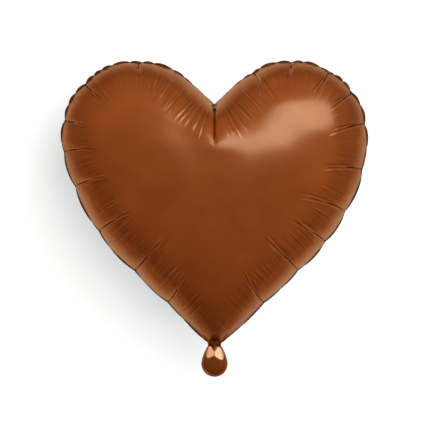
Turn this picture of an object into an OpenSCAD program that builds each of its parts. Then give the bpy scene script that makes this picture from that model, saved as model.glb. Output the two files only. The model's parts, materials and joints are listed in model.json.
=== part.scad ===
// Heart-shaped foil balloon, inflated, lying on its back.
// Two films are welded round a heart outline. A narrow neck at the heart's tip opens into the
// inflation tail: a small puffed teardrop, then the tail's open end, folded back behind it.
// Frame: +Z out of the front face, +Y from the tail to the cleft, Z = 0 under the resting face.

/* [Heart outline] */
// Distance of each lobe's centre from the middle line
lobe_x = 100.5; // [100:0.5:102]
// Radius of each lobe, so that the heart is 2 * (lobe_x + lobe_r) wide
lobe_r = 100; // [99:0.5:101]
// Height of the lobes' centres above the middle of the heart
lobe_y = 58.5; // [57:0.5:60]
// Radius of the curve from each lobe down into the cleft
cleft_r = 590; // [570:10:610]
// Direction from the lobe's centre at which the cleft curve starts
cleft_start = 129; // [128.5:0.5:129.5]
// Radius of the curve from each lobe down the side
side_r = 290; // [285:1:295]
// Direction from the lobe's centre at which the side curve starts
side_start = -13; // [-14:0.5:-12]
// Direction at which the side curve ends and the straight run to the neck starts
side_end = -46.5; // [-47:0.5:-46]

/* [Inflated depth] */
// Depth of the front film's bulge
front_depth = 78; // [70:1:84]
// Depth of the rear film's bulge
rear_depth = 77; // [70:1:84]
// Radius of the flat spot on which the rear film rests
rest_r = 30; // [20:1:36]
// How much sooner the bulge falls away towards the neck: 0 for as late as elsewhere
tip_slimness = 0.5; // [0.4:0.05:0.6]
// Angle either side of the neck's direction over which that happens
tip_spread = 25; // [20:1:30]

/* [Film] */
// Thickness that stands in for the foil's
film_t = 0.6; // [0.5:0.1:0.8]
// Width of the welded rim
seal_w = 3; // [2.5:0.5:4]
// Thickness of the welded rim
seal_t = 1.6; // [1.6:0.1:2]

/* [Neck and valve] */
// Width of the neck between the heart and the tail
neck_w = 16; // [15:0.5:17]
// Length of the valve inside the heart
valve_l = 95; // [60:5:120]
// Width of the valve's two films
valve_w = 34; // [30:1:38]
// Thickness of each valve film
valve_t = 0.4; // [0.3:0.05:0.4]
// Gap between the two valve films
valve_gap = 0.4; // [0.3:0.05:0.4]
// Width of the weld along each edge of the valve
valve_weld_w = 2; // [1.5:0.5:3]

/* [Tail] */
// Length of the teardrop, from the neck to the fold
drop_l = 44; // [42:1:46]
// Width of the teardrop
drop_w = 34.5; // [34:0.5:36]
// Radius of the teardrop's long side curves
drop_side_r = 60; // [55:1:70]
// Direction from the teardrop's centre at which each side curve starts
drop_side_start = 12; // [10:1:14]
// Depth of the teardrop's front bulge
drop_front_depth = 8; // [6:0.5:9]
// Depth of the teardrop's rear bulge
drop_rear_depth = 2.5; // [2:0.5:2.5]
// Width of the weld round the teardrop
drop_seal_w = 1.5; // [1:0.5:2]
// Thickness of the weld round the teardrop
drop_seal_t = 1.2; // [1:0.1:1.4]
// Thickness of the tail's films
tail_t = 0.5; // [0.4:0.1:0.6]
// Length of the tail's folded end
end_l = 27; // [22:1:28]
// Width of the tail's folded end
end_w = 24; // [22:1:24]
// Inside height of the open mouth
mouth_h = 8; // [7:0.5:8]
// Width of the weld along each edge of the folded end
end_weld_w = 1.5; // [1:0.5:2]
// Angle at which the folded end leans away from the teardrop
end_lean = 38; // [37:1:40]

/* [Hidden] */

foil = [0.49, 0.23, 0.09];
weld = [0.36, 0.15, 0.05];
clear_film = [0.80, 0.83, 0.85];

// Steps along each stretch of the two outlines, and from the rim to the flat spot
cleft_steps = 6;
lobe_steps = 20;
side_steps = 11;
straight_steps = 9;
ring_steps = 12;
drop_side_steps = 6;
drop_round_steps = 10;
drop_ring_steps = 6;
drop_flat_r = 4;
end_steps = 6;
arch_steps = 10;

// Creases stand in for the film where it bends at the neck and at the tail's fold
neck_crease_r = seal_t / 2;
fold_crease_r = 1.6;
crease_gap = 0.35;

function polar(r, a) = [r * cos(a), r * sin(a)];
function mirror_x(points) = [for (i = [len(points) - 1:-1:0]) [-points[i].x, points[i].y]];
// Points of an arc, both ends included
function arc(centre, r, from, to, steps) =
    [for (i = [0:steps]) centre + polar(r, from + (to - from) * i / steps)];
// The list without its first point, to chain stretches that share an end
function rest(points) = [for (i = [1:len(points) - 1]) points[i]];
// Centre of a curve of radius r that continues the circle (centre, small_r) smoothly at angle a
function tangent_centre(centre, small_r, r, a) = centre - polar(r - small_r, a);

// Heart outline
lobe_centre = [lobe_x, lobe_y];
cleft_centre = tangent_centre(lobe_centre, lobe_r, cleft_r, cleft_start);
side_centre = tangent_centre(lobe_centre, lobe_r, side_r, side_start);
straight_dir = polar(1, side_end - 90);
side_foot = side_centre + polar(side_r, side_end);
neck_y = side_foot.y + straight_dir.y * (neck_w / 2 - side_foot.x) / straight_dir.x;

// Direction of the point on the middle line where the cleft curves meet, inset by d
function cleft_angle(d) = 180 - acos(cleft_centre.x / (cleft_r - d));

// Right half of the heart, from the cleft round to the neck, inset by d from the rim and by
// end_inset from the neck's end
function heart_half(d, end_inset) =
    let (start = side_centre + polar(side_r - d, side_end),
         run = (neck_y + end_inset - start.y) / straight_dir.y)
    concat(
        arc(cleft_centre, cleft_r - d, cleft_angle(d), cleft_start, cleft_steps),
        rest(arc(lobe_centre, lobe_r - d, cleft_start, side_start, lobe_steps)),
        rest(arc(side_centre, side_r - d, side_start, side_end, side_steps)),
        [for (i = [1:straight_steps]) start + straight_dir * run * i / straight_steps]
    );
// Whole heart, clockwise from the cleft
function heart(d, end_inset = 0) =
    concat(heart_half(d, end_inset), mirror_x(rest(heart_half(d, end_inset))));

// Teardrop outline, measured from the neck
drop_r = drop_w / 2;
drop_top = -2 * neck_crease_r - crease_gap;
drop_centre = [0, -drop_l + drop_r];
drop_side_centre = tangent_centre(drop_centre, drop_r, drop_side_r, drop_side_start);
function drop_half(d, end_inset) =
    let (top_angle = asin((drop_top - end_inset - drop_side_centre.y) / (drop_side_r - d)))
    concat(
        arc(drop_side_centre, drop_side_r - d, top_angle, drop_side_start, drop_side_steps),
        rest(arc(drop_centre, drop_r - d, drop_side_start, -90, drop_round_steps))
    );
function drop(d, end_inset = 0) =
    concat(drop_half(d, end_inset), rest(mirror_x(drop_half(d, end_inset))));

// Height of an inflated film at u, from 1 at its flat spot (u = 0) to 0 at its rim (u = 1)
function bulge(u, fall = 0.5) = pow(max(1 - pow(u, 3), 0), fall);
// The fall in the direction of p, steeper towards the neck
function fall(p) =
    0.5 + tip_slimness * exp(-pow((90 - atan2(-p.y, abs(p.x))) / tip_spread, 2));

// Rings of a film inside a rim: from the rim in and up to a flat spot of radius flat_r at centre
function rings(rim, centre, flat_r, depth, steps, slims = false) =
    [for (j = [0:steps])
        let (u = cos(90 * j / steps))
        [for (p = rim)
            let (out = p - centre, r = norm(out),
                 at = centre + out / r * (flat_r + (r - flat_r) * u))
            [at.x, at.y, depth * bulge(u, slims ? fall(out) : 0.5)]]];

function flat_list(rows) = [for (row = rows) for (p = row) p];

// Closed dome of film between an outer and an inner set of rings, with a flat crown.
// Rings run clockwise seen from +Z, from the rim to the crown.
module dome(outer, inner) {
    n = len(outer[0]);
    m = len(outer);
    inner_at = n * m;
    function wrap(i) = i % n;
    quads = [for (j = [0:m - 2]) for (i = [0:n - 1])
        [j * n + i, j * n + wrap(i + 1), (j + 1) * n + wrap(i + 1), (j + 1) * n + i]];
    outside = flat_list([for (q = quads) [[q[0], q[1], q[2]], [q[0], q[2], q[3]]]]);
    inside = [for (f = outside) [f[2] + inner_at, f[1] + inner_at, f[0] + inner_at]];
    foot = flat_list([for (i = [0:n - 1])
        [[i, wrap(i + 1) + inner_at, wrap(i + 1)], [i, i + inner_at, wrap(i + 1) + inner_at]]]);
    crown = [for (i = [0:n - 1]) (m - 1) * n + i];
    under_crown = [for (i = [n - 1:-1:0]) (m - 1) * n + i + inner_at];
    polyhedron(
        points = concat(flat_list(outer), flat_list(inner)),
        faces = concat(outside, inside, foot, [crown, under_crown])
    );
}

module heart_film(depth) {
    outer = heart(seal_w);
    inner = heart(seal_w + film_t, film_t);
    translate([0, 0, seal_t / 2]) dome(
        rings(outer, [0, 0], rest_r, depth, ring_steps, true),
        rings(inner, [0, 0], rest_r, depth - film_t, ring_steps, true)
    );
}

module drop_film(depth) {
    outer = drop(drop_seal_w);
    inner = drop(drop_seal_w + tail_t, tail_t);
    translate([0, 0, drop_seal_t / 2]) dome(
        rings(outer, drop_centre, drop_flat_r, depth, drop_ring_steps),
        rings(inner, drop_centre, drop_flat_r, depth - tail_t, drop_ring_steps)
    );
}

// Puts a piece that is drawn about the heart's middle at its place in the frame
y_shift = (drop_l - neck_y - lobe_y - lobe_r) / 2;
rim_z = rear_depth + seal_t / 2;
module at_heart() { translate([0, y_shift, rim_z]) children(); }
module at_neck() { translate([0, y_shift + neck_y, rim_z]) children(); }

module front_panel() { color(foil) at_heart() heart_film(front_depth); }

module rear_panel() { color(foil) at_heart() mirror([0, 0, 1]) heart_film(rear_depth); }

// Welded rim, open at the neck, where the outlines share one edge
module rim_seal() {
    color(weld) at_heart() linear_extrude(height = seal_t, center = true) difference() {
        polygon(heart(0));
        polygon(heart(seal_w + film_t));
    }
}

// Outline of one valve film: as narrow as the neck at its foot, then its full width
valve_foot_y = 0.5;
valve_foot_w = neck_w + 2 * (seal_w + film_t) / straight_dir.y;
valve_shoulder = 16;
module valve_outline() {
    polygon([
        [-valve_foot_w / 2, valve_foot_y], [valve_foot_w / 2, valve_foot_y],
        [valve_w / 2, valve_shoulder], [valve_w / 2, valve_l],
        [-valve_w / 2, valve_l], [-valve_w / 2, valve_shoulder]
    ]);
}

module valve_film() {
    translate([0, 0, valve_gap / 2]) linear_extrude(height = valve_t) valve_outline();
}

module valve_front_film() { color(clear_film) at_neck() valve_film(); }

module valve_rear_film() { color(clear_film) at_neck() mirror([0, 0, 1]) valve_film(); }

// Weld along each long edge of the valve, between its two films
module valve_edge_welds() {
    color(clear_film) at_neck() for (side = [-1, 1])
        translate([side * (valve_w - valve_weld_w) / 2, (valve_l + valve_shoulder) / 2, 0])
            cube([valve_weld_w, valve_l - valve_shoulder, valve_gap], center = true);
}

// Film gathered at the neck, where the tail bends
module neck_crease() {
    color(foil) at_neck() translate([0, -neck_crease_r, 0]) rotate([0, 90, 0])
        cylinder(h = neck_w, r = neck_crease_r, center = true, $fn = 32);
}

module tail_front_ply() { color(foil) at_neck() drop_film(drop_front_depth); }

module tail_rear_ply() { color(foil) at_neck() mirror([0, 0, 1]) drop_film(drop_rear_depth); }

module tail_seal() {
    color(weld) at_neck() linear_extrude(height = drop_seal_t, center = true) difference() {
        polygon(drop(0));
        polygon(drop(drop_seal_w + tail_t));
    }
}

// Places a piece of the folded end: Y runs from the fold to the mouth
fold_y = -drop_l + fold_crease_r;
fold_z = -drop_seal_t / 2 - fold_crease_r;
module at_fold() {
    at_neck() translate([0, fold_y, fold_z]) rotate([-end_lean, 0, 0]) children();
}

// Film that turns round the end of the teardrop, from its weld to the folded end
module tail_fold_crease() {
    color(foil) at_neck() translate([0, fold_y, fold_z]) rotate([0, -90, 0])
        linear_extrude(height = end_w / 2, center = true) difference() {
            circle(r = fold_crease_r, $fn = 48);
            circle(r = fold_crease_r - tail_t, $fn = 48);
            translate([-end_w, -tail_t / 4]) square([2 * end_w, end_w]);
        }
}

// Half of the folded end's sleeve, flat at the fold and arched open at the mouth
sleeve_start = fold_crease_r + crease_gap;
sleeve_weld_t = 0.6;
flat_h = 0.4;
sleeve_half_w = end_w / 2 - end_weld_w;
// Rise of the arch over its edges at a share x of the half width and a share t of the length
function arch_rise(x, t) = (flat_h + (mouth_h / 2 - flat_h) * t) * (1 - x * x);
// Sheet points over the sleeve's width and length, grown outward by thickness
function sleeve_grid(thickness) =
    [for (j = [0:end_steps])
        let (t = j / end_steps)
        [for (i = [0:arch_steps])
            let (x = 2 * i / arch_steps - 1)
            [x * (sleeve_half_w + thickness), sleeve_start + (end_l - sleeve_start) * t,
             sleeve_weld_t / 2 + arch_rise(x, t) + (abs(x) < 1 ? thickness : 0)]]];

// Closed strip of film between two grids of points that share their long edges' height
module strip(outer, inner) {
    n = len(outer[0]);
    m = len(outer);
    inner_at = n * m;
    last_row = (m - 1) * n;
    top = flat_list([for (j = [0:m - 2]) for (i = [0:n - 2])
        [[j * n + i, (j + 1) * n + i, (j + 1) * n + i + 1],
         [j * n + i, (j + 1) * n + i + 1, j * n + i + 1]]]);
    bottom = [for (f = top) [f[2] + inner_at, f[1] + inner_at, f[0] + inner_at]];
    ends = flat_list([for (i = [0:n - 2])
        [[i, i + 1, i + 1 + inner_at], [i, i + 1 + inner_at, i + inner_at],
         [last_row + i + 1, last_row + i, last_row + i + inner_at],
         [last_row + i + 1, last_row + i + inner_at, last_row + i + 1 + inner_at]]]);
    edges = flat_list([for (j = [0:m - 2])
        let (a = j * n, b = (j + 1) * n)
        [[b, a, a + inner_at], [b, a + inner_at, b + inner_at],
         [a + n - 1, b + n - 1, b + n - 1 + inner_at],
         [a + n - 1, b + n - 1 + inner_at, a + n - 1 + inner_at]]]);
    polyhedron(
        points = concat(flat_list(outer), flat_list(inner)),
        faces = concat(top, bottom, ends, edges)
    );
}

module sleeve_half() { strip(sleeve_grid(tail_t), sleeve_grid(0)); }

module tail_end_front_ply() { color(foil) at_fold() sleeve_half(); }

module tail_end_rear_ply() { color(foil) at_fold() mirror([0, 0, 1]) sleeve_half(); }

// Weld along each long edge of the folded end, under the arches' feet
module tail_end_welds() {
    color(weld) at_fold() for (side = [-1, 1])
        translate([side * (end_w - end_weld_w) / 2, (end_l + sleeve_start) / 2, 0])
            cube([end_weld_w, end_l - sleeve_start, sleeve_weld_t], center = true);
}

front_panel();
rear_panel();
rim_seal();
valve_front_film();
valve_rear_film();
valve_edge_welds();
neck_crease();
tail_front_ply();
tail_rear_ply();
tail_seal();
tail_fold_crease();
tail_end_front_ply();
tail_end_rear_ply();
tail_end_welds();
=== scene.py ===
import json
import math

import bpy
import numpy as np
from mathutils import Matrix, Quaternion, Vector


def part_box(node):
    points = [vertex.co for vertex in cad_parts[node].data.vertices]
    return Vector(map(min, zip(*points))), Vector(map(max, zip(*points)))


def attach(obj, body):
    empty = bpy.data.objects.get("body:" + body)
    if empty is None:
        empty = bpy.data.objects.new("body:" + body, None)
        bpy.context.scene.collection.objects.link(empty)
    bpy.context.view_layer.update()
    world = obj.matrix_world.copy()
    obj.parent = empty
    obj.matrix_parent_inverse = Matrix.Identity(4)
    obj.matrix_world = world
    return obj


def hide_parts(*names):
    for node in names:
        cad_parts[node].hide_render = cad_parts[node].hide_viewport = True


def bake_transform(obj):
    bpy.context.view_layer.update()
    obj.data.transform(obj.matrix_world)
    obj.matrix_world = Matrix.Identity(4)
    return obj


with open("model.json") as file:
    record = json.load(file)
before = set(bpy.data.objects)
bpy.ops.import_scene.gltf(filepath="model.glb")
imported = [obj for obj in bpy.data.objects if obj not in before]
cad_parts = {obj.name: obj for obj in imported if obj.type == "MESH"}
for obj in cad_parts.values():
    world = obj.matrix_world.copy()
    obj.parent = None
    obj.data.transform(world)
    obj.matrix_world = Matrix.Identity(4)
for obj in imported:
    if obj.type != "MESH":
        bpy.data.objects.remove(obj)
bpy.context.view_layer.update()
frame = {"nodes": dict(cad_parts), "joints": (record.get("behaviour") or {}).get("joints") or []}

# A heart-shaped foil balloon that lies on its back, seen from straight above. The heart's film is
# a flat sheet that a pressure cloth simulation inflates inside its welded rim. The creases and the
# streaks that a weld's gathered film makes are then worked into the simulated surface.
# Coordinates along the film are s, the distance round the rim clockwise from the cleft, and
# d, the distance in from the rim along rays that leave the rim square to it.

MM = 0.001


# ---------------------------------------------------------------- sizes from the frame

rim_low, rim_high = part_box("rim_seal")
drop_low, drop_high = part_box("tail_seal")
RIM_Z = (rim_low.z + rim_high.z) / 2
FRONT_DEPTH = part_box("front_panel")[1].z - RIM_Z
REAR_DEPTH = RIM_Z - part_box("rear_panel")[0].z
unfold = next(joint for joint in frame["joints"] if joint["name"] == "tail_unfold")
FOLD_AXIS = Vector(unfold["pos_m"])

# The heart's outline: one lobe's circle, the curve up to it from the cleft, the side and a
# straight run to the neck, as in the CAD
LOBE_X = 100.5 * MM
LOBE_R = rim_high.x - LOBE_X
CLEFT_R = 590 * MM
CLEFT_START = 129
SIDE_R = 290 * MM
SIDE_START = -13
SIDE_END = -46.5
NECK_W = 16 * MM
LOBE_Y = rim_high.y - LOBE_R
# The middle of the heart, from which the creases' directions are counted
MIDDLE = np.array([0.0, LOBE_Y - 58.5 * MM])
# The point a little below it where the rays across the film meet
RAYS_MEET = MIDDLE - np.array([0.0, 12 * MM])
# How much fuller than that outline the film is, on its right side below the lobe and at its tip
SIDE_FULLER = 4.2 * MM
SIDE_TOP = 250 * MM
TIP_FULLER = 2.0 * MM
TIP_TOP = 35 * MM


def fade(x, low, high):
    """0 below low, 1 above high and a soft step between."""
    t = np.clip((x - low) / (high - low), 0, 1)
    return t * t * (3 - 2 * t)


def bell(x, width):
    """1 at x = 0, falling away smoothly over the width to either side."""
    return np.exp(-(x / width) ** 2)


def polar(r, degrees):
    a = np.radians(degrees)
    return np.stack([r * np.cos(a), r * np.sin(a)], -1)


def arc(centre, r, start, end, count):
    return centre + polar(r, np.linspace(start, end, count))


def heart_outline():
    """The closed outline as dense points, clockwise from the cleft."""
    lobe = np.array([LOBE_X, LOBE_Y])
    into_cleft = lobe - polar(CLEFT_R - LOBE_R, CLEFT_START)
    side = lobe - polar(SIDE_R - LOBE_R, SIDE_START)
    at_cleft = 180 - math.degrees(math.acos(into_cleft[0] / CLEFT_R))
    curved = np.concatenate([
        arc(into_cleft, CLEFT_R, at_cleft, CLEFT_START, 200),
        arc(lobe, LOBE_R, CLEFT_START, SIDE_START, 700)[1:],
        arc(side, SIDE_R, SIDE_START, SIDE_END, 400)[1:],
    ])
    down = polar(1, SIDE_END - 90)
    run = (NECK_W / 2 - curved[-1][0]) / down[0]
    half = np.concatenate([curved, curved[-1] + down * run * np.linspace(0, 1, 300)[1:, None]])
    neck = np.stack([np.linspace(1, -1, 30) * NECK_W / 2, np.full(30, half[-1][1])], -1)
    outline = np.concatenate([half, neck[1:-1], (half * [-1, 1])[::-1][:-1]])
    x, y = outline.T
    above = y - half[-1][1]
    along_side = fade(above, 0, 30 * MM) * (1 - fade(above, SIDE_TOP - 40 * MM, SIDE_TOP))
    at_tip = fade(above, -3 * MM, 3 * MM) * (1 - fade(above, 8 * MM, TIP_TOP))
    outline[:, 0] += SIDE_FULLER * along_side * (x > 0) + TIP_FULLER * at_tip * np.sign(x)
    return outline


OUTLINE = heart_outline()
CLOSED_OUTLINE = np.concatenate([OUTLINE, OUTLINE[:1]])
# The s of each outline point, the whole way round, and each point's direction from the middle
OUTLINE_S = np.concatenate([[0], np.cumsum(np.hypot(*np.diff(CLOSED_OUTLINE, axis=0).T))])
GIRTH = OUTLINE_S[-1]
NECK_S = GIRTH / 2
HEADING = np.degrees(np.unwrap(np.arctan2(*(OUTLINE - MIDDLE).T[::-1])))
FINE_S = np.linspace(0, GIRTH, 40001)


def running_share(density):
    """The share of the whole density, given at each fine s, that lies before it."""
    total = np.concatenate([[0], np.cumsum((density[1:] + density[:-1]) / 2)])
    return total / total[-1]


# The rings' points crowd near the cleft, where the rays fan out
RING_TURN = running_share(1 + 4 * bell(np.minimum(FINE_S, GIRTH - FINE_S), 12 * MM))


def place_of(turn):
    """The s of a ring's point at a share of the whole turn."""
    return np.interp(turn, RING_TURN, FINE_S)


def turn_of(s):
    return np.interp(np.mod(s, GIRTH), FINE_S, RING_TURN)


def outline_at(s):
    s = np.mod(s, GIRTH)
    return np.stack([np.interp(s, OUTLINE_S, column) for column in CLOSED_OUTLINE.T], -1)


def round_rim(a, b):
    """The shortest signed way round the rim from b to a."""
    return np.mod(a - b + GIRTH / 2, GIRTH) - GIRTH / 2


def rim_place(direction):
    """The s at which the rim lies in a direction, in degrees, from the middle."""
    away = np.mod(HEADING - direction + 180, 360) - 180
    return OUTLINE_S[:-1][np.argmin(np.abs(away))]


# ---------------------------------------------------------------- creases

# Each major crease: its direction from the middle in degrees, its length in mm, and its depth
# from 0, faint, to 1
CREASES = (
    (77, 20, 0.3), (71, 30, 0.8), (58, 18, 0.8), (44, 30, 1.0), (33, 30, 1.0), (21, 42, 1.0),
    (4.5, 42, 1.0), (-13, 54, 0.9), (-28.5, 43, 1.0), (-46.5, 54, 1.0), (-67.5, 41, 0.9),
    (248.5, 38, 0.9), (228, 50, 1.0), (203, 46, 1.0), (182, 40, 1.0), (169, 34, 0.9),
    (158, 26, 1.0), (150, 18, 0.4), (143, 26, 0.9), (131, 16, 0.4), (122, 18, 0.9),
    (109, 22, 0.4), (101, 20, 0.4),
)
CREASE_S = np.array([rim_place(direction) for direction, _, _ in CREASES])
CREASE_LENGTH = np.array([length for _, length, _ in CREASES]) * MM
CREASE_DEPTH = np.array([depth for _, _, depth in CREASES])

# The rim's bulge between two neighbouring creases, full where they are this far apart or more
SCALLOP = 2.4 * MM
FULL_SCALLOP_GAP = 34 * MM
# How far inside the heart's outline the film meets the weld
FIN = 1.6 * MM


def scallop(s):
    """How far the weld line bulges out at s, with a notch at each crease."""
    stops = np.sort(np.concatenate([CREASE_S[CREASE_DEPTH > 0.5], [0, NECK_S]]))
    after = np.searchsorted(stops, np.mod(s, GIRTH), side="right")
    low = stops[after - 1]
    gap = np.append(stops, GIRTH)[after] - low
    t = (np.mod(s, GIRTH) - low) / gap
    calm = fade(np.abs(round_rim(s, NECK_S)), 0.01, 0.06) * fade(np.abs(round_rim(s, 0)), 0, 0.05)
    return SCALLOP * np.minimum(gap / FULL_SCALLOP_GAP, 1) * (0.35 - np.abs(2 * t - 1) ** 2.4) * calm


def outward(s):
    tangent = outline_at(s + MM) - outline_at(s - MM)
    tangent /= np.linalg.norm(tangent, axis=-1, keepdims=True)
    return np.stack([-tangent[..., 1], tangent[..., 0]], -1)


def ray_direction(s):
    """The inward direction of the rays at s: square to the rim, and fanned out at the corners."""
    reach = (9 + 14 * bell(round_rim(s, NECK_S), 40 * MM) + 9 * bell(round_rim(s, 0), 45 * MM)) * MM
    total = sum(math.exp(-2 * k * k) * -outward(s + k * reach) for k in np.linspace(-1, 1, 15))
    return total / np.linalg.norm(total, axis=-1, keepdims=True)


def weld_line(s):
    return outline_at(s) + outward(s) * (scallop(s) - FIN)[:, None]


def film_plan(s, w):
    """Plan positions of the film at each w, from 0 at the rim to 1 at the middle, and each s."""
    rim = outline_at(s) - outward(s) * FIN
    inward = ray_direction(s)
    # How far each ray runs square to the rim before it turns to the middle: less near the tip
    to_axis = np.where(rim[:, 1] < MIDDLE[1], np.abs(rim[:, 0]), 1)
    lead = np.minimum(60 * MM, 0.62 * to_axis + 3 * MM)[:, None]
    w = np.asarray(w)[:, None, None]
    bulge = outward(s) * scallop(s)[:, None] * (1 - fade(w, 0, 0.14))
    return rim * (1 - w) ** 2 + (rim + inward * lead) * 2 * w * (1 - w) + RAYS_MEET * w * w + bulge


# ---------------------------------------------------------------- meshes made of rings and rows

def level_steps(first, growth, widest):
    """Levels w from the rim, 0, nearly to the middle, with steps that widen on the way in."""
    steps, w = [0.0], 0.0
    while w < 0.985:
        w += min(first + growth * w, widest)
        steps.append(min(w, 0.99))
    return np.array(steps)


def ring_counts(full, levels, floor=32):
    """Points on each ring: all of them by the rim, then half as many each time they crowd."""
    counts, count, since = [], full, 0
    for w in levels:
        since += 1
        if count / 2 >= floor and count / 2 >= 0.9 * full * (1 - w) and since > 1 and count % 2 == 0:
            count, since = count // 2, 0
        counts.append(count)
    return counts


def ring_faces(counts):
    """Faces that join rings of the given counts, outermost first, to a point in the middle."""
    faces, start = [], 0
    for k, n in zip(counts, counts[1:]):
        a, b = start, start + k
        if n == k:
            faces += [(a + i, b + i, b + (i + 1) % n, a + (i + 1) % k) for i in range(k)]
        else:
            for i in range(n):
                p, q, r = a + 2 * i, a + 2 * i + 1, a + (2 * i + 2) % k
                u, v = b + i, b + (i + 1) % n
                faces += [(p, u, q), (q, u, v), (q, v, r)]
        start = b
    last = counts[-1]
    faces += [(start + i, start + last, start + (i + 1) % last) for i in range(last)]
    return faces


def grid_faces(rows, columns, closed=False):
    """Faces between rows of points; closed joins each row's last point to its first."""
    return [(j * columns + i, j * columns + (i + 1) % columns,
             (j + 1) * columns + (i + 1) % columns, (j + 1) * columns + i)
            for j in range(rows - 1) for i in range(columns if closed else columns - 1)]


def tube_faces(rings, around):
    """Faces of a tube made of closed rings of points, with a cap at each end."""
    last = (rings - 1) * around
    caps = [tuple(range(around))[::-1], tuple(range(last, last + around))]
    return grid_faces(rings, around, closed=True) + caps


def new_object(name, data):
    made = bpy.data.objects.new(name, data)
    bpy.context.scene.collection.objects.link(made)
    return made


def new_mesh(name, points, faces, flip=False):
    mesh = bpy.data.meshes.new(name)
    if flip:
        faces = [f[::-1] for f in faces]
    mesh.from_pydata(np.asarray(points, float).tolist(), [], [tuple(map(int, f)) for f in faces])
    mesh.polygons.foreach_set("use_smooth", [True] * len(mesh.polygons))
    mesh.update()
    return new_object(name, mesh)


# ---------------------------------------------------------------- inflating the film

SIM_POINTS = 768
SIM_LEVELS = level_steps(0.0095, 0.05, 0.045)
SIM_FRAMES = 24
SIM_PRESSURE = 10.0
# The film's flat size over the size at which its rim is held
FILM_SLACK = 1.12
# How high the film stands off the rim's plane at the middle of the neck
NECK_ARCH = 3 * MM
# How far the simulation's moves are averaged, near the rim and inside
FINE_AVERAGE = 3 * MM
BROAD_AVERAGE = 13 * MM


def dome_height(plan, faces, rim_count):
    """Height over the rim, from 0 to 1, of a film inflated over this plan: a Poisson solve by
    conjugate gradients, turned into the profile of a pillow that is round at its rim."""
    tris = np.array([(f[0], f[k], f[k + 1]) for f in faces for k in range(1, len(f) - 1)])
    p = [plan[tris[:, k]] for k in range(3)]
    opposite = [p[2] - p[1], p[0] - p[2], p[1] - p[0]]
    area = 0.5 * np.abs(opposite[2][:, 0] * opposite[1][:, 1] - opposite[2][:, 1] * opposite[1][:, 0])
    area = np.maximum(area, 1e-12)
    rows, cols, vals = [], [], []
    for i in range(3):
        for j in range(3):
            rows.append(tris[:, i])
            cols.append(tris[:, j])
            vals.append((opposite[i] * opposite[j]).sum(1) / (4 * area))
    rows, cols, vals = (np.concatenate(x) for x in (rows, cols, vals))
    n = len(plan)
    free = np.arange(n) >= rim_count
    load = sum(np.bincount(tris[:, k], area / 3, n) for k in range(3)) * free

    def apply(x):
        return np.bincount(rows, vals * x[cols], n) * free

    scale = 1 / np.where(free, np.bincount(rows[rows == cols], vals[rows == cols], n), 1)
    x = np.zeros(n)
    r = load.copy()
    z = r * scale
    d, rz = z.copy(), r @ z
    for _ in range(700):
        ad = apply(d)
        step = rz / (d @ ad)
        x += step * d
        r -= step * ad
        z = r * scale
        rz, before = r @ z, rz
        if rz < 1e-12 * (load @ (load * scale)):
            break
        d = z + d * (rz / before)
    share = np.clip(x / x.max(), 0, 1)
    return np.sqrt(np.maximum(1 - (1 - share) ** 1.5, 0))


def inflate(points, flat, faces, rim_count):
    """Relaxes the film under gas pressure, held at its rim, from near its inflated shape."""
    piece = new_mesh("film_in_simulation", points, faces)
    piece.shape_key_add(name="Basis")
    key = piece.shape_key_add(name="flat film")
    key.data.foreach_set("co", flat.astype(np.float32).ravel())
    held = piece.vertex_groups.new(name="rim")
    held.add(list(range(rim_count)), 1.0, "REPLACE")
    modifier = piece.modifiers.new("gas pressure", "CLOTH")
    cloth = modifier.settings
    cloth.quality = 6
    cloth.mass = 0.1
    cloth.air_damping = 2
    cloth.tension_stiffness = 25
    cloth.compression_stiffness = 1
    cloth.shear_stiffness = 2
    cloth.bending_stiffness = 0.02
    cloth.use_pressure = True
    cloth.uniform_pressure_force = SIM_PRESSURE
    cloth.vertex_group_mass = "rim"
    cloth.rest_shape_key = key
    cloth.effector_weights.gravity = 0
    modifier.collision_settings.use_collision = False
    modifier.collision_settings.use_self_collision = False
    scene = bpy.context.scene
    for number in range(1, SIM_FRAMES + 1):
        scene.frame_set(number)
    graph = bpy.context.evaluated_depsgraph_get()
    result = np.empty(len(points) * 3, np.float32)
    piece.evaluated_get(graph).data.vertices.foreach_get("co", result)
    scene.frame_set(1)
    bpy.data.objects.remove(piece)
    return result.reshape(-1, 3).astype(float)


def evened(moved, plan, faces, reach):
    """The simulation's moves averaged over the film round each point, out to about the reach,
    which takes out the narrow ridges that the fine rays of the mesh can leave."""
    weight = np.zeros(len(plan))
    for face in faces:
        weight[list(face)] += face_area(plan[list(face)])
    cells = np.floor((plan - plan.min(axis=0)) / (3 * reach)).astype(int)
    result = np.empty_like(moved)
    for cell in np.unique(cells, axis=0):
        inside = np.flatnonzero((cells == cell).all(axis=1))
        near = np.flatnonzero((np.abs(cells - cell) <= 1).all(axis=1))
        apart = ((plan[inside, None] - plan[None, near]) ** 2).sum(axis=-1)
        share = np.exp(-apart / (2 * reach ** 2)) * weight[near]
        result[inside] = share @ moved[near] / share.sum(axis=1, keepdims=True)
    return result


def face_area(corners):
    x, y = corners.T
    return abs(x @ np.roll(y, -1) - y @ np.roll(x, -1)) / 2


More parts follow.
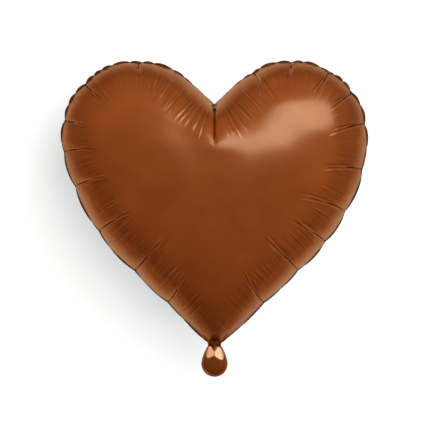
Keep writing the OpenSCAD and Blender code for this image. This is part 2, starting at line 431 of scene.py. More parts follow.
def inflated_rings():
    """The inflated film as rings, one for each level, and its top point."""
    counts = ring_counts(SIM_POINTS, SIM_LEVELS)
    faces = ring_faces(counts)
    plan = [film_plan(place_of(np.arange(k) / k), [w])[0] for w, k in zip(SIM_LEVELS, counts)]
    plan = np.concatenate(plan + [RAYS_MEET[None]])
    height = dome_height(plan, faces, SIM_POINTS)
    rim_s = place_of(np.arange(SIM_POINTS) / SIM_POINTS)
    at_neck = np.abs(round_rim(rim_s, NECK_S)) < NECK_W / 2 + FIN
    arch = np.maximum(1 - (plan[:SIM_POINTS, 0] / (NECK_W / 2)) ** 2, 0) * at_neck
    points = np.column_stack([plan, height * FRONT_DEPTH])
    points[:SIM_POINTS, 2] += NECK_ARCH * arch
    moved = np.zeros_like(points)
    flat = MIDDLE + (plan - MIDDLE) * FILM_SLACK
    flat = np.column_stack([flat, np.zeros(len(flat))])
    moved = inflate(points, flat, faces, SIM_POINTS) - points
    w = np.append(np.repeat(SIM_LEVELS, counts), 1)[:, None]
    finely = evened(moved, plan, faces, FINE_AVERAGE)
    broadly = evened(moved, plan, faces, BROAD_AVERAGE)
    moved += fade(w, 0.005, 0.05) * (finely - moved)
    moved += fade(w, 0.06, 0.25) * (broadly - moved)
    points += moved
    rings, start = [], 0
    for k in counts:
        rings.append(points[start:start + k])
        start += k
    top = points[-1]
    share = FRONT_DEPTH / max(ring[:, 2].max() for ring in rings)
    for ring in rings:
        ring[:, 2] *= share
    top[2] *= share
    return rings, top


def along_ring(ring, s):
    """A ring's position at each s, by a smooth periodic curve through its points."""
    n = len(ring)
    x = turn_of(s) * n
    i = np.floor(x).astype(int)
    t = (x - i)[:, None]
    a, b, c, d = (ring[(i + k) % n] for k in (-1, 0, 1, 2))
    return b + t * ((c - a) / 2 + t * (a - 2.5 * b + 2 * c - d / 2 + t * (1.5 * (b - c) + (d - a) / 2)))


def across_levels(stack, levels, w):
    """Positions at each w from rows of positions at the levels, by a smooth curve."""
    i = np.clip(np.searchsorted(levels, w, side="right") - 1, 0, len(levels) - 2)
    t = ((w - levels[i]) / (levels[i + 1] - levels[i]))[:, None, None]
    slope = np.gradient(stack, levels, axis=0)
    h = (levels[i + 1] - levels[i])[:, None, None]
    p, q = stack[i], stack[i + 1]
    return ((1 + 2 * t) * (1 - t) ** 2 * p + t * (1 - t) ** 2 * h * slope[i]
            + t * t * (3 - 2 * t) * q + t * t * (t - 1) * h * slope[i + 1])


# ---------------------------------------------------------------- creases worked into the film

FILM_POINTS = 1664
FILM_LEVELS = level_steps(0.0058, 0.014, 0.03)
# The crease at the cleft: how far it runs in, and how far along the rim its valley's sides reach
CLEFT_CREASE = 58 * MM
CLEFT_SIDES = 120 * MM
# The low brow under that crease, between the lobes: its height, its reach and its place
BROW = 5.5 * MM
BROW_REACH = 32 * MM
BROW_BELOW_CLEFT = 45 * MM
# How much painted shade darkens the film at the tip, and how far up that reaches
TIP_PAINTED_SHADE = 0.2
TIP_REACH = 45 * MM
rng = np.random.default_rng(9)


def film_places():
    """The s of each ray of the final film: crowded at the cleft and at each crease, one on it."""
    density = 1 + 6 * bell(round_rim(FINE_S, 0), 10 * MM)
    for place, depth in zip(CREASE_S, CREASE_DEPTH):
        density += 4 * depth * bell(round_rim(FINE_S, place), 1.8 * MM)
    s = np.interp(np.arange(FILM_POINTS) / FILM_POINTS, running_share(density), FINE_S)
    for place in CREASE_S:
        s[np.argmin(np.abs(round_rim(s, place)))] = place
    return s


def window(x, low, high, soft):
    return fade(x, low - soft, low) * (1 - fade(x, high, high + soft))


def crease_relief(across, d, length, depth):
    """One crease's relief, across it and d in from the rim: returns the film's height and its painted light
    and shade, above 0 a painted highlight and below 0 painted shade.
    Ridges and grooves in turn fork off at its inner end."""
    seed = rng.uniform(-1, 1, 8)
    lap = 1 if seed[0] > 0 else -1
    line = 1 - fade(d, 0.38 * length, 0.68 * length)
    relief = -1.4 * MM * bell(across, 0.7 * MM) * line
    relief += 0.35 * MM * lap * np.tanh(across / (0.6 * MM)) * np.exp(-np.abs(across) / (5 * MM)) * line
    relief -= 0.9 * MM * bell(across, 5 * MM) * (1 - fade(d, 0.3 * length, 1.1 * length))
    # Painted shade along the crease's shut fold
    shade = -0.8 * min(depth * 1.2, 1) * bell(across, 0.5 * MM) * line
    for k, side in enumerate((-1.5, -0.5, 0.5, 1.5)):
        centre = side * (1.1 * MM + 0.03 * d) + 0.4 * MM * seed[k + 1]
        start = (0.45 + 0.12 * seed[k + 2]) * length
        end = (0.95 + 0.2 * seed[k + 3]) * length
        fork = bell(across - centre, 0.9 * MM) * window(d, start, end, 0.25 * length)
        relief += (0.42 if k % 2 else -0.42) * MM * fork
        # Painted highlight on each ridge and painted shade in each groove
        shade += (0.45 if k % 2 else -0.35) * depth * fork
    return relief * depth, shade


def streak_band(s):
    """Where the streaks lie at s: how deep in they start and end, and how strong they are."""
    from_cleft = np.abs(round_rim(s, 0))
    from_neck = np.abs(round_rim(s, NECK_S))
    cleft_reach = np.where(round_rim(s, 0) > 0, 64, 85) * MM
    near_cleft = np.exp(-(from_cleft / cleft_reach) ** 4)
    near_neck = bell(from_neck, 45 * MM)
    low_side = bell(from_neck - 150 * MM, 110 * MM)
    start = 17 * MM + 6 * MM * near_cleft - 11 * MM * near_neck + 7 * MM * low_side
    end = 34 * MM + 12 * MM * near_cleft - 18 * MM * near_neck + 8 * MM * low_side
    strength = 0.08 + 0.22 * near_cleft + 0.12 * low_side
    return start, end, strength


# How far along the rim one streak, and one crease, can change the film
STREAK_REACH = 48 * MM
CREASE_REACH = 30 * MM


def relief_of_streaks(s, points):
    """Fine straight streaks square to the rim, each with its own place, reach and strength:
    returns their height and their painted highlights and painted shade, as how much lighter the film is
    painted on them."""
    relief, shade = np.zeros(points.shape[:2]), np.zeros(points.shape[:2])
    place = 3 * MM
    while place < GIRTH - 2 * MM:
        start, end, strength = (float(x) for x in streak_band(np.float64(place)))
        start += rng.normal(0, 2.5 * MM)
        end += rng.normal(0, 3.5 * MM)
        strength *= rng.lognormal(-0.1, 0.5)
        width = rng.uniform(1.0, 1.7) * MM
        lean = rng.normal(0, 0.03)
        columns = np.flatnonzero(np.abs(round_rim(s, place)) < STREAK_REACH)
        root = outline_at(np.array([place]))[0]
        inward = ray_direction(np.array([place]))[0]
        reach = points[:, columns, :2] - root
        along = reach @ inward
        across = reach @ np.array([-inward[1], inward[0]]) - lean * along
        ridge = bell(across, width)
        groove = bell(across - 1.7 * width, width)
        shown = fade(along, start - 8 * MM, start) * (1 - fade(along, end - 4 * MM, end + 11 * MM))
        relief[:, columns] += strength * MM * (ridge - 0.5 * groove) * shown
        # Painted highlight on each ridge, strongest as a painted glint near its inner end, and painted
        # shade in its groove
        painted_glint = bell(along - end + 2 * MM, 6 * MM)
        shade[:, columns] += strength * ((0.6 + 0.9 * painted_glint) * ridge ** 2 - 0.6 * groove) * shown
        fan = 1 + 1.5 * float(bell(round_rim(place, 0), 8 * MM))
        place += rng.uniform(3.4, 6.2) * MM / fan
    return relief, shade


def broad_swell(points):
    """Slow waves, under a millimetre high, that keep the film's reflections from being even."""
    swell = np.zeros(points.shape[:2])
    for _ in range(12):
        direction = rng.uniform(0, 2 * math.pi)
        wave = 2 * math.pi / rng.uniform(45 * MM, 110 * MM)
        along = points[..., 0] * math.cos(direction) + points[..., 1] * math.sin(direction)
        swell += np.sin(along * wave + rng.uniform(0, 6.3))
    return 0.09 * MM * swell


def surface_normals(points):
    along = np.roll(points, -1, 1) - np.roll(points, 1, 1)
    inward = np.gradient(points, axis=0)
    normal = np.cross(inward, along)
    normal /= np.maximum(np.linalg.norm(normal, axis=-1, keepdims=True), 1e-12)
    return normal * np.sign(normal[len(normal) // 2, 0, 2])


def cleft_depth(across, pocket):
    """How deep the crease at the cleft is, across it; pocket is 1 where it gapes, by the rim."""
    valley = 3.2 * MM * np.exp(-np.abs(across) / (6 * MM))
    return valley + 1.8 * MM * bell(across, 0.8 * MM) + 1.6 * MM * pocket * bell(across, 2.2 * MM)


def cleft_painted_shade(across, pocket):
    """How much painted shade darkens the film in that crease."""
    inside = np.minimum(bell(across, 0.65 * MM) + pocket * bell(across, 1.8 * MM), 1)
    return (0.8 - 0.15 * pocket) * inside


def worked_film(rings, front):
    """The final film over the inflated one, on a grid of levels and rays: returns its points and
    the painted light and shade at each of them, above 0 lighter and below 0 darker."""
    s = film_places()
    stack = np.stack([along_ring(ring, s) for ring in rings])
    points = across_levels(stack, SIM_LEVELS, FILM_LEVELS)
    points[0, :, :2] = weld_line(s)
    steps = np.linalg.norm(np.diff(points[..., :2], axis=0), axis=-1)
    d = np.concatenate([np.zeros((1, len(s))), np.cumsum(steps, axis=0)])
    gap = np.linalg.norm(np.roll(points, -1, 1) - np.roll(points, 1, 1), axis=-1)
    spacing = gap / np.mod(np.roll(s, -1) - np.roll(s, 1), GIRTH)
    relief, shade = relief_of_streaks(s, points)
    for place, length, depth in zip(CREASE_S, CREASE_LENGTH, CREASE_DEPTH):
        length *= 1 if front else rng.uniform(0.8, 1.25)
        columns = np.flatnonzero(np.abs(round_rim(s, place)) < CREASE_REACH)
        across = round_rim(s[columns], place) * spacing[:, columns]
        # tone is the crease's painted light and shade
        rise, tone = crease_relief(across, d[:, columns], length, depth)
        relief[:, columns] += rise
        shade[:, columns] += tone
    relief += broad_swell(points)
    by_cleft = np.abs(round_rim(s, 0)) < CLEFT_SIDES
    in_cleft = by_cleft * (1 - fade(d, 0.65 * CLEFT_CREASE, CLEFT_CREASE))
    pocket = 1 - fade(d, 6 * MM, 18 * MM)
    relief -= in_cleft * cleft_depth(points[..., 0], pocket)
    relief *= fade(d, 0, 1.5 * MM)
    points += surface_normals(points) * relief[..., None]
    # Painted shade in the crease at the cleft
    shade -= in_cleft * cleft_painted_shade(points[..., 0], pocket)
    # Painted shade that darkens the film towards the tip
    shade -= TIP_PAINTED_SHADE * bell(points[..., 1] - outline_at(NECK_S)[1], TIP_REACH)
    below_cleft = outline_at(0)[1] - BROW_BELOW_CLEFT - points[..., 1]
    brow = bell(points[..., 0], BROW_REACH) * bell(below_cleft, BROW_REACH)
    points[..., 2] += BROW * brow * fade(d, 4 * MM, 25 * MM)
    return points, np.clip(shade, -0.88, 0.8)


def paint_light_and_shade(piece, shade):
    """Paints light and shade into the material's colour: notes at each point how much darker, to -1, or
    lighter it is painted there.
    """
    note = piece.data.attributes.new("shade", "FLOAT", "POINT")
    note.data.foreach_set("value", np.asarray(shade, np.float32))


def film_piece(name, rings, top, front):
    """The front or rear film as a piece, with no part of it below the table."""
    grid, shade = worked_film(rings, front)
    counts = ring_counts(FILM_POINTS, FILM_LEVELS)
    kept = [slice(None, None, FILM_POINTS // k) for k in counts]
    points = np.concatenate([grid[j, part] for j, part in enumerate(kept)] + [top[None]])
    shade = np.concatenate([shade[j, part] for j, part in enumerate(kept)] + [[0]])
    if not front:
        points[:, 2] *= -REAR_DEPTH / FRONT_DEPTH
    points[:, 2] += RIM_Z
    points[:, 2] = np.maximum(points[:, 2], 0)
    piece = new_mesh(name, points, ring_faces(counts), flip=not front)
    # The film's painted light and shade
    paint_light_and_shade(piece, shade)
    return piece


film_rings, film_top = inflated_rings()
front_film = film_piece("front_film", film_rings, film_top, front=True)
rear_film = film_piece("rear_film", film_rings, film_top, front=False)


# ---------------------------------------------------------------- welded rim

WELD_POINTS = 2400
WELD_INNER = 1.2 * MM
WELD_HALF_THICK = 0.22 * MM
# The weld's section, from its front face round its edge to its rear face: each row's place as a
# share of the weld's reach, or -1 for WELD_INNER inside it; its height as a share of half the
# thickness; and how much it follows the weld's waves
WELD_ROWS = (
    (-1, 1, 0), (0.35, 1, 0.4), (0.9, 1, 1.0), (1.0, 0, 1.1), (0.9, -1, 1.0), (0.35, -1, 0.4), (-1, -1, 0),
)


def weld_fin():
    """The welded edge outside the gas: a thin band with small scallops that waves up and down,
    larger on the lobes, and open at the neck."""
    s = np.arange(WELD_POINTS) * GIRTH / WELD_POINTS
    s = s[np.abs(round_rim(s, NECK_S)) > NECK_W / 2]
    line, out = weld_line(s), outward(s)
    lobes = fade(np.abs(round_rim(s, NECK_S)), 330 * MM, 420 * MM)
    away_from_cleft = fade(np.abs(round_rim(s, 0)), 30 * MM, 80 * MM)
    wave = 50 * MM - 33 * MM * lobes
    phase = np.cumsum(np.mod(np.diff(s, prepend=s[0]), GIRTH) / wave)
    phase += 0.18 * np.sin(phase * 1.7) + 0.4 * np.sin(phase * 0.41)
    arch = np.abs(np.sin(math.pi * phase)) ** 0.7
    reach = 0.35 * MM + (0.95 + 1.2 * lobes) * MM * arch * (0.15 + 0.85 * away_from_cleft)
    lift = 0.5 * MM * np.sin(math.pi * phase + 0.6) * (0.4 + 0.6 * lobes)
    points = []
    for share, level, bend in WELD_ROWS:
        along = share * (reach if share > 0 else np.full_like(reach, WELD_INNER))
        height = RIM_Z + level * WELD_HALF_THICK + bend * lift
        points.append(np.column_stack([line + out * along[:, None], height]))
    before_neck = np.argmax(np.diff(s))
    faces = [face for face in grid_faces(len(WELD_ROWS), len(s), closed=True)
             if face[0] % len(s) != before_neck]
    return new_mesh("rim_weld", np.concatenate(points), faces)


rim_weld = weld_fin()

# ---------------------------------------------------------------- neck and teardrop tail

NECK_Y = rim_low.y
DROP_R = (drop_high.x - drop_low.x) / 2
DROP_CENTRE = np.array([0, drop_low.y + DROP_R])
DROP_SIDE_R = 60 * MM
DROP_SIDE_START = 12
DROP_FRONT_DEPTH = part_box("tail_front_ply")[1].z - drop_high.z
DROP_REAR_DEPTH = drop_low.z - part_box("tail_rear_ply")[0].z
DROP_SEAL_W = 1.5 * MM
DROP_SEAL_T = 1.2 * MM


def drop_outline(inset, count):
    """The teardrop's outline from its right top corner clockwise round to the left one."""
    side_centre = DROP_CENTRE - polar(DROP_SIDE_R - DROP_R, DROP_SIDE_START)
    top = math.degrees(math.asin((drop_high.y - side_centre[1]) / (DROP_SIDE_R - inset)))
    side = arc(side_centre, DROP_SIDE_R - inset, top, DROP_SIDE_START, count)
    half = np.concatenate([side, arc(DROP_CENTRE, DROP_R - inset, DROP_SIDE_START, -90, count)[1:]])
    return np.concatenate([half, (half * [-1, 1])[::-1][1:]])


# The front of the teardrop is flattened into two facets, between the neck and a peaked crease that
# is this far up from the teardrop's middle
FACET_PEAK = 11 * MM
FACET_TOP = 0.93 * DROP_FRONT_DEPTH
FACET_FALL = 0.48


def facet_height(x, y):
    aside = 0.75 * np.maximum(x, 0) + 0.57 * np.maximum(-x, 0)
    return FACET_TOP - FACET_FALL * (y - DROP_CENTRE[1] - FACET_PEAK + aside)


def cut_by_facets(plan, height):
    """A puffed film's height, softly cut off by the facets, with a faint groove inside its edge."""
    soft = 0.25 * MM
    cut = np.where(height > 0, -soft * np.logaddexp(-height / soft, -facet_height(*plan.T) / soft), 0)
    off = np.linalg.norm((plan - DROP_CENTRE) / DROP_R, axis=1)
    low = plan[:, 1] < DROP_CENTRE[1] + 0.3 * DROP_R
    return np.maximum(cut, 0) - 0.35 * MM * bell(off - 0.8, 0.05) * low


def drop_levels(count):
    """Levels from the teardrop's edge to its middle, closer together at the edge."""
    crowded = 1 - np.cos(np.linspace(0, math.pi / 2, count + 1)[:-1])
    return 0.5 * crowded + 0.5 * np.linspace(0, 0.97, count)


def drop_film(name, depth, faceted):
    """One of the teardrop's films, puffed up to a depth that is below 0 for the rear one."""
    rim = drop_outline(DROP_SEAL_W, 40)
    top_x = np.linspace(rim[-1][0], rim[0][0], 14)[1:-1]
    rim = np.concatenate([rim, np.column_stack([top_x, np.full_like(top_x, rim[0][1])])])
    rings = [rim * (1 - w) + DROP_CENTRE * w for w in drop_levels(35)]
    plan = np.concatenate(rings + [DROP_CENTRE[None]])
    faces = ring_faces([len(rim)] * len(rings))
    z = dome_height(plan, faces, len(rim)) * abs(depth)
    if faceted:
        z = cut_by_facets(plan, z)
    z = math.copysign(1, depth) * (z + DROP_SEAL_T / 2)
    piece = new_mesh(name, np.column_stack([plan, RIM_Z + z]), faces, flip=depth < 0)
    # The front film's painted shade and painted highlight
    if faceted:
        paint_light_and_shade(piece, drop_painted_shade_and_glint(plan))
    return piece


def drop_painted_shade_and_glint(plan):
    """Painted shade beside and below the two facets, and a thin painted highlight inside the lower left
    edge.
    """
    x, y = (plan - DROP_CENTRE).T
    facet_edge = 10.5 * MM - 0.2 * (y - 6 * MM)
    beside = fade(np.abs(x), facet_edge - 0.7 * MM, facet_edge + 0.5 * MM) * fade(y, 2 * MM, 6 * MM)
    off = np.hypot(x, y) / DROP_R
    direction = np.degrees(np.arctan2(y, x))
    painted_glint = bell(off - 0.84, 0.035) * bell(direction + 128, 25)
    below_facets = 1 - fade(y - FACET_PEAK + 0.65 * np.abs(x), -0.5 * MM, 0.5 * MM)
    return 2 * painted_glint - 0.4 * beside - 0.25 * below_facets


# The section of the teardrop's weld: how far out, and how high as a share of its thickness
DROP_WELD_ROWS = (
    (-0.6, 0.55), (0.2, 0.5), (0.85, 0.35), (1.0, 0.0), (0.85, -0.35), (0.2, -0.5), (-0.6, -0.55),
)


def drop_weld():
    """The teardrop's welded edge: a thin rounded band, open at the neck."""
    line = drop_outline(DROP_SEAL_W, 60)
    edge = drop_outline(0, 60)
    n = len(line)
    points = np.concatenate([
        np.column_stack([line + (edge - line) * out, np.full(n, RIM_Z + level * DROP_SEAL_T)])
        for out, level in DROP_WELD_ROWS])
    last = (len(DROP_WELD_ROWS) - 1) * n
    closing = [(last + i, last + i + 1, i + 1, i) for i in range(n - 1)]
    return new_mesh("drop_weld", points, grid_faces(len(DROP_WELD_ROWS), n) + closing)


# The gathered neck's sections in mm: Y from the heart's lowest point, half width, half thickness
NECK_SECTIONS = ((1.8, 9.7, 1.5), (0.4, 9.2, 1.6), (-0.8, 8.8, 1.5), (-1.8, 8.4, 1.2), (-4.2, 8.4, 1.4))


def neck_gather():
    """Film gathered into pleats where the balloon's neck narrows into the teardrop."""
    around = 96
    angle = np.arange(around) * 2 * math.pi / around
    pleats = 1 + 0.16 * np.cos(9 * angle + 0.6) + 0.1 * np.cos(14 * angle + 2)
    y, wide, thick = np.array(NECK_SECTIONS).T
    fine_y = np.linspace(y[0], y[-1], 24)
    points = []
    for at in fine_y:
        x = np.interp(-at, -y, wide) * MM * np.cos(angle)
        z = np.interp(-at, -y, thick) * MM * np.sin(angle) * pleats
        points.append(np.column_stack([x, np.full(around, NECK_Y + at * MM), RIM_Z + z]))
    piece = new_mesh("neck_gather", np.concatenate(points), tube_faces(len(fine_y), around))
    # Painted shade: the whole gather darker, darkest at the pinch
    pinch = bell(np.repeat(fine_y, around) + 2.2, 1.4)
    paint_light_and_shade(piece, -0.5 - 0.42 * pinch)
    return piece


def neck_flap():
    """The pointed end of the balloon's front film, which lies over the top of the teardrop."""
    half, length, lift = 7.2 * MM, 10.4 * MM, 0.45 * MM
    start = NECK_Y - 0.6 * MM
    columns, rows = 25, 25
    across = np.linspace(-1, 1, columns)
    points = []
    for t in np.linspace(0, 1, rows):
        x = across * half * (1 - t) ** 0.9
        y = np.full(columns, start - t * length)
        over = facet_height(x, y) + DROP_SEAL_T / 2 + lift * (1 - across ** 2) * (1 - t) + 0.25 * MM
        over = np.maximum(over, 1.2 * MM) + 0.3 * MM * np.cos(5 * across + 1) * (1 - t)
        points.append(np.column_stack([x, y, RIM_Z + over]))
    # The rows run down the flap, so its faces go round the other way
    faces = [(a, d, c, b) for a, b, c, d in grid_faces(rows, columns)]
    piece = new_mesh("neck_flap", np.concatenate(points), faces)
    # Painted shade over the flap, darkest where it leaves the neck
    paint_light_and_shade(piece, np.repeat(np.linspace(-0.85, -0.45, rows), columns))
    thicken(piece, 0.25 * MM)
    return piece


def thicken(piece, thickness):
    modifier = piece.modifiers.new("film thickness", "SOLIDIFY")
    modifier.thickness = thickness
    modifier.offset = -1


# ---------------------------------------------------------------- folded end of the tail

FOLD_R = 1.6 * MM
# How far round the fold the film goes, and how steeply the folded end falls behind the teardrop
FOLD_TURN = math.radians(225)
END_LEAN = math.radians(38)
END_LENGTH = 27 * MM
END_W = 24 * MM
END_WELD_W = 1.5 * MM
END_START = FOLD_R + 0.35 * MM
# Half the opening between the folded end's films, at the mouth and by the fold
MOUTH_HALF = 4 * MM
END_FLAT = 0.4 * MM
END_THICK = 0.3 * MM


def at_fold(points):
    """Places points whose Y runs from the fold to the mouth."""
    x, y, z = np.asarray(points).T
    c, s = math.cos(END_LEAN), math.sin(END_LEAN)
    return np.column_stack([x, FOLD_AXIS.y + y * c + z * s, FOLD_AXIS.z - y * s + z * c])


def round_end(x):
    """How far the teardrop's round end falls back at x from the middle."""
    return DROP_R - np.sqrt(DROP_R ** 2 - np.minimum(x ** 2, 0.95 * DROP_R ** 2))


def fold_film():
    """Film that turns round the end of the teardrop into the folded end."""
    columns, rows = 33, 17
    x = np.linspace(-1, 1, columns)
    across = x * END_W / 3
    points = []
    for a in np.linspace(0, FOLD_TURN, rows):
        r = FOLD_R - 0.15 * MM + 0.12 * MM * np.cos(11 * x + a)
        y = FOLD_AXIS.y - r * np.sin(a) + round_end(across)
        points.append(np.column_stack([across, y, FOLD_AXIS.z + r * np.cos(a)]))
    piece = new_mesh("fold_film", np.concatenate(points), grid_faces(rows, columns), flip=True)
    thicken(piece, END_THICK)
    return piece


def sleeve_ply(name, side):
    """One film of the folded end, from flat by the fold to arched and wavy at the open mouth."""
    columns, rows = 49, 49
    half = END_W / 2 - END_WELD_W
    x = np.linspace(-1, 1, columns)
    start = END_START + round_end(x * END_W / 2)
    points = []
    for t in np.linspace(0, 1, rows):
        rise = (END_FLAT + (MOUTH_HALF - END_FLAT) * t ** 1.1) * (1 - x * x)
        flutes = 0.3 * MM * t * np.cos(8 * x + 1.3 * side + 2 * t) * (1 - x ** 4)
        z = side * (0.25 * MM + np.maximum(rise + flutes, 0))
        y = start + (END_LENGTH - start) * t + 0.5 * MM * t * (np.cos(6 * x + side) - 1)
        points.append(np.column_stack([x * half, y, z]))
    points = at_fold(np.concatenate(points))
    piece = new_mesh(name, points, grid_faces(rows, columns), flip=side < 0)
    thicken(piece, END_THICK)
    return piece


def sleeve_welds():
    """The weld down each long edge of the folded end."""
    count = 60
    y = np.linspace(END_START + round_end(END_W / 2), END_LENGTH, count)
    inner = np.full(count, END_W / 2 - END_WELD_W - 0.2 * MM)
    points, faces = [], []
    for side in (-1, 1):
        outer = END_W / 2 - 0.1 * MM + 0.15 * MM * np.sin(y / MM * 1.1 + side)
        start = len(points) * count
        corners = ((inner, 0.3 * MM), (outer, 0.2 * MM), (outer, -0.2 * MM), (inner, -0.3 * MM))
        for x, z in corners:
            points.append(at_fold(np.column_stack([side * x, y, np.full(count, z)])))
        edges = [start + k * count for k in range(len(corners))]
        for a, b in zip(edges, edges[1:] + edges[:1]):
            strip = [(a + i, a + i + 1, b + i + 1, b + i) for i in range(count - 1)]
            faces += [face[::-1] for face in strip] if side > 0 else strip
        near, far = tuple(edges), tuple(edge + count - 1 for edge in edges)
        faces += [near[::side], far[::-side]]
    return new_mesh("sleeve_welds", np.concatenate(points), faces)


drop_front = drop_film("drop_front", DROP_FRONT_DEPTH, True)
drop_rear = drop_film("drop_rear", -DROP_REAR_DEPTH, False)
drop_edge = drop_weld()
# Painted highlight: the teardrop's welded edge is drawn lighter
paint_light_and_shade(drop_edge, np.full(len(drop_edge.data.vertices), 0.35))
gather = neck_gather()
flap = neck_flap()
fold = fold_film()
sleeve_front = sleeve_ply("sleeve_front", 1)
sleeve_rear = sleeve_ply("sleeve_rear", -1)
sleeve_edges = sleeve_welds()

for piece, nodes, slot in (
    (drop_front, ("tail_front_ply",), "tail_foil"),
    (drop_rear, ("tail_rear_ply",), "tail_foil"),
    (drop_edge, ("tail_seal",), "foil_weld"),
    (fold, ("tail_fold_crease",), "tail_foil"),
):
    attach(piece, "tail")
    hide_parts(*nodes)
for piece, nodes, slot in (
    (sleeve_front, ("tail_end_front_ply",), "tail_foil"),
    (sleeve_rear, ("tail_end_rear_ply",), "tail_foil"),
    (sleeve_edges, ("tail_end_welds",), "foil_weld"),
):
    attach(piece, "tail_end")
    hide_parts(*nodes)
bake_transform(gather)
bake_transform(flap)
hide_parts("neck_crease")
for piece, nodes, slot in (
    (front_film, ("front_panel",), "foil"),
    (rear_film, ("rear_panel",), "foil"),
    (rim_weld, ("rim_seal",), "foil_weld"),
):
    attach(piece, "balloon")
    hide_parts(*nodes)


# ---------------------------------------------------------------- materials

COPPER = (0.66, 0.28, 0.125)
# The pale colour added to the copper as a painted highlight
PAINTED_GLINT = (0.40, 0.34, 0.26)


def node_material(name, metallic, roughness, coat, coat_roughness):
    material = bpy.data.materials.new(name)
    material.use_nodes = True
    shader = material.node_tree.nodes["Principled BSDF"]
    shader.inputs["Metallic"].default_value = metallic
    shader.inputs["Roughness"].default_value = roughness
    shader.inputs["Coat Weight"].default_value = coat
    shader.inputs["Coat Roughness"].default_value = coat_roughness
    return material, material.node_tree, shader


def add_node(tree, kind, inputs, output=0, **settings):
    """A new node's output. Each of its inputs is another node's output, to link, or a value."""
    node = tree.nodes.new(f"ShaderNode{kind}")
    for setting, value in settings.items():
        setattr(node, setting, value)
    for place, value in inputs.items():
        if isinstance(value, bpy.types.NodeSocket):
            tree.links.new(value, node.inputs[place])
        else:
            node.inputs[place].default_value = value
    return node.outputs[output]


def noise(tree, scale, detail=3):
    place = add_node(tree, "TexCoord", {}, "Object")
    return add_node(tree, "TexNoise", {"Vector": place, "Scale": scale, "Detail": detail}, "Fac")


def ramp(tree, source, stops):
    node = tree.nodes.new("ShaderNodeValToRGB")
    while len(node.color_ramp.elements) < len(stops):
        node.color_ramp.elements.new(0.5)
    for element, (place, colour) in zip(node.color_ramp.elements, stops):
        element.position = place
        element.color = (*colour, 1)
    tree.links.new(source, node.inputs["Fac"])
    return node.outputs["Color"]


def foil(name, colour, roughness, coat_roughness, coat=0.15):
    """Metallised film: tinted metal under a clear gloss layer, with faint mottling and haze. Where a
    point's painted shade is below 0 the metal's colour is darkened, and above 0 a pale painted highlight is
    added to it."""
    material, tree, shader = node_material(name, 1, roughness, coat, coat_roughness)
    darker = [c * 0.9 for c in colour]
    lighter = [min(c * 1.08, 1) for c in colour]
    mottled = ramp(tree, noise(tree, 26, 4), [(0.3, darker), (0.7, lighter)])
    # The painted light and shade noted on each piece
    shade = add_node(tree, "Attribute", {}, "Fac", attribute_name="shade")
    dark = add_node(tree, "Math", {0: shade, 1: 1}, operation="ADD", use_clamp=True)
    light = add_node(tree, "Math", {0: shade, 1: 0}, operation="MAXIMUM")
    pale = add_node(tree, "VectorMath", {0: PAINTED_GLINT, "Scale": light}, operation="SCALE")
    toned = add_node(tree, "VectorMath", {0: mottled, 1: dark, 2: pale}, operation="MULTIPLY_ADD")
    tree.links.new(toned, shader.inputs["Base Color"])
    haze = add_node(tree, "MapRange", {
        "Value": noise(tree, 14, 5), "From Min": 0.3, "From Max": 0.7,
        "To Min": roughness - 0.03, "To Max": roughness + 0.04,
    }, "Result")
    tree.links.new(haze, shader.inputs["Roughness"])
    grain = noise(tree, 240, 2)
    bump = add_node(tree, "Bump", {"Height": grain, "Strength": 0.07, "Distance": 0.00025}, "Normal")
    tree.links.new(bump, shader.inputs["Normal"])
    return material


foil_material = foil("copper_foil", COPPER, 0.23, 0.1)
# The teardrop's foil is glossier, and its copper darkened as painted shade
drop_material = foil("glossy_foil", [c * 0.85 for c in COPPER], 0.13, 0.05, coat=0.3)
weld_material = foil("welded_foil", [c * 0.35 for c in COPPER], 0.4, 0.2)
for material, covered in (
    (foil_material, (front_film, rear_film, gather, flap)),
    (weld_material, (rim_weld,)),
    (drop_material, (drop_front, drop_rear, drop_edge, fold, sleeve_front, sleeve_rear, sleeve_edges)),
):
    for piece in covered:
        piece.data.materials.append(material)


def valve_film():
    """Clear, slightly hazy film of the filling valve inside the neck."""
    material, tree, shader = node_material("clear_valve_film", 0, 0.25, 0, 0.5)
    shade = ramp(tree, noise(tree, 60), [(0.3, (0.60, 0.64, 0.66)), (0.7, (0.78, 0.81, 0.83))])
    tree.links.new(shade, shader.inputs["Base Color"])
    shader.inputs["Transmission Weight"].default_value = 0.7
    return material


valve_material = valve_film()
for node in ("valve_front_film", "valve_rear_film", "valve_edge_welds"):
    frame["nodes"][node].data.materials.clear()
    frame["nodes"][node].data.materials.append(valve_material)


# ---------------------------------------------------------------- floor, light and camera

TABLE_HALF = 4
# The table as the camera sees it, and the table and the room beyond it as the balloon mirrors them
SEEN_FLOOR = np.array([0.435, 0.575, 0.635])
MIRRORED_FLOOR = np.array([0.52, 0.41, 0.27])
MIRRORED_ROOM = np.array([0.24, 0.10, 0.032])
TABLE_LIGHT = 1.9
TABLE_LIGHT_ANGLE = math.radians(70)
TABLE_LIGHT_FROM = Vector((0.75, 0.36, 1.0))
# The room's light, and the side on which its walls are lighter
ROOM_COLOUR = np.array([1, 0.46, 0.18])
WALL_SCALE = 2.4
LIGHTER_WALL = (0.35, 0.93, 0)
DIM_WALL = (0.34, 0.34, 0.33)
LIT_WALL = (0.80, 0.93, 1.0)
SOFTBOX_COLOUR = (0.54, 0.82, 1.06)
# The key light is a long panel with a small one at its near left corner: X, Y and size of each
KEY_PANELS = (("key", 0.78, 0.81, (1.38, 0.64)), ("key_corner", 0.085, 0.44, (0.24, 0.28)))
KEY_HEIGHT = 0.90
KEY_TURN = math.radians(18)
KEY_RADIANCE = 0.97
# Two small lamps that make the teardrop's two facets shine
FACET_LAMPS = (("left_facet_lamp", (-0.42, 0.57, 0.58)), ("right_facet_lamp", (0.53, 0.51, 0.55)))
FACET_LAMP_SIZE = (0.3, 0.3)
FACET_LAMP_RADIANCE = 2.0
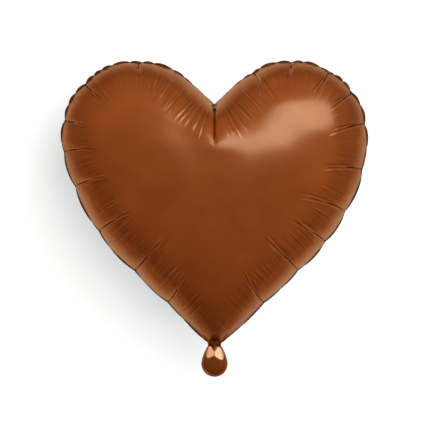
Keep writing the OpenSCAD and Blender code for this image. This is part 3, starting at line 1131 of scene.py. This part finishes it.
# The camera's height over the rim, and the width and the middle of what it sees there
VIEW_HEIGHT = 2.2
VIEW_W = 1.40065 * (rim_high.x - rim_low.x)
VIEW_MIDDLE = MIDDLE + np.array([0.65 * MM, -43.1 * MM])


def floor():
    """A white table. What the balloon mirrors of it is only a dim patch round the balloon, as under
    a product shot's dark tent, so the shader tells the camera's rays from the mirrored ones."""
    corners = [(x * TABLE_HALF, y * TABLE_HALF, 0) for x, y in ((-1, -1), (1, -1), (1, 1), (-1, 1))]
    plane = new_mesh("floor", corners, [(0, 1, 2, 3)])
    material, tree, shader = node_material("white_table", 0, 0.9, 0, 0.5)
    seen = add_node(tree, "LightPath", {}, "Is Camera Ray")
    place = add_node(tree, "TexCoord", {}, "Object")
    distance = add_node(tree, "VectorMath", {0: place}, "Value", operation="LENGTH")
    mirrored = ramp(tree, distance, [
        (0.0, MIRRORED_FLOOR), (0.22, MIRRORED_FLOOR), (0.50, MIRRORED_ROOM), (1.0, MIRRORED_ROOM)])
    plain = ramp(tree, noise(tree, 3), [(0.3, SEEN_FLOOR), (0.7, SEEN_FLOOR * 1.02)])
    glow = add_node(tree, "Mix", {"Factor": seen, "A": mirrored, "B": plain}, "Result", data_type="RGBA")
    tree.links.new(glow, shader.inputs["Emission Color"])
    shader.inputs["Emission Strength"].default_value = 1
    tree.links.new(ramp(tree, seen, [(0, (0.02,) * 3), (1, (0.87,) * 3)]), shader.inputs["Base Color"])
    plane.data.materials.append(material)
    return plane


def table_light(table):
    """A soft sun that lights only the table, so the balloon's shadow falls to its lower left."""
    sun = bpy.data.lights.new("table_light", "SUN")
    sun.energy = TABLE_LIGHT
    sun.angle = TABLE_LIGHT_ANGLE
    holder = new_object("table_light", sun)
    holder.rotation_mode = "QUATERNION"
    holder.rotation_quaternion = TABLE_LIGHT_FROM.to_track_quat("Z", "Y")
    shines_on(holder, [table])


def shines_on(lamp, pieces):
    """Keeps a lamp's light to these pieces."""
    lit = bpy.data.collections.new(f"lit by {lamp.name}")
    for piece in pieces:
        lit.objects.link(piece)
    lamp.light_linking.receiver_collection = lit


def softbox(name, place, aim, size, radiance, turn=0.0):
    """A lit panel that faces a point, turned about its own axis."""
    lamp = bpy.data.lights.new(name, "AREA")
    lamp.shape = "RECTANGLE"
    lamp.size, lamp.size_y = size
    lamp.energy = radiance * math.pi * size[0] * size[1]
    lamp.color = SOFTBOX_COLOUR
    holder = new_object(name, lamp)
    holder.location = place
    holder.rotation_mode = "QUATERNION"
    facing = (Vector(place) - Vector(aim)).to_track_quat("Z", "Y")
    holder.rotation_quaternion = facing @ Quaternion((0, 0, 1), turn)
    return holder


def studio():
    """A dim warm room round the table, which the camera itself sees as white."""
    world = bpy.data.worlds.new("studio")
    bpy.context.scene.world = world
    world.use_nodes = True
    tree = world.node_tree
    direction = add_node(tree, "TexCoord", {}, "Generated")
    shade = ramp(tree, add_node(tree, "SeparateXYZ", {"Vector": direction}, "Z"), [
        (z, ROOM_COLOUR * level) for z, level in ((0.0, 0.21), (0.3, 0.215), (0.6, 0.28), (1.0, 0.25))])
    facing = add_node(tree, "VectorMath", {0: direction, 1: LIGHTER_WALL}, "Value", operation="DOT_PRODUCT")
    turned = add_node(tree, "MapRange", {"Value": facing, "From Min": -1}, "Result")
    wall = ramp(tree, turned, [(0, DIM_WALL), (1, LIT_WALL)])
    lit = add_node(tree, "VectorMath", {0: shade, 1: wall}, operation="MULTIPLY")
    bright = add_node(tree, "VectorMath", {0: lit, "Scale": WALL_SCALE}, operation="SCALE")
    seen = add_node(tree, "LightPath", {}, "Is Camera Ray")
    white = (1, 1, 1, 1)
    glow = add_node(tree, "Mix", {"Factor": seen, "A": bright, "B": white}, "Result", data_type="RGBA")
    tree.links.new(glow, tree.nodes["Background"].inputs["Color"])


def overhead_camera():
    """A camera that looks straight down from far above."""
    camera = bpy.data.cameras.new("camera")
    camera.lens = camera.sensor_width * VIEW_HEIGHT / VIEW_W
    viewer = new_object("camera", camera)
    viewer.location = (*VIEW_MIDDLE, RIM_Z + VIEW_HEIGHT)
    bpy.context.scene.camera = viewer


table_light(floor())
studio()
for name, x, y, size in KEY_PANELS:
    softbox(name, (x, y, KEY_HEIGHT), (x, y, 0), size, KEY_RADIANCE, KEY_TURN)
for name, place in FACET_LAMPS:
    lamp = softbox(name, place, (0, DROP_CENTRE[1], RIM_Z), FACET_LAMP_SIZE, FACET_LAMP_RADIANCE)
    shines_on(lamp, [drop_front, drop_edge])
overhead_camera()
bpy.context.scene.view_settings.view_transform = "Standard"
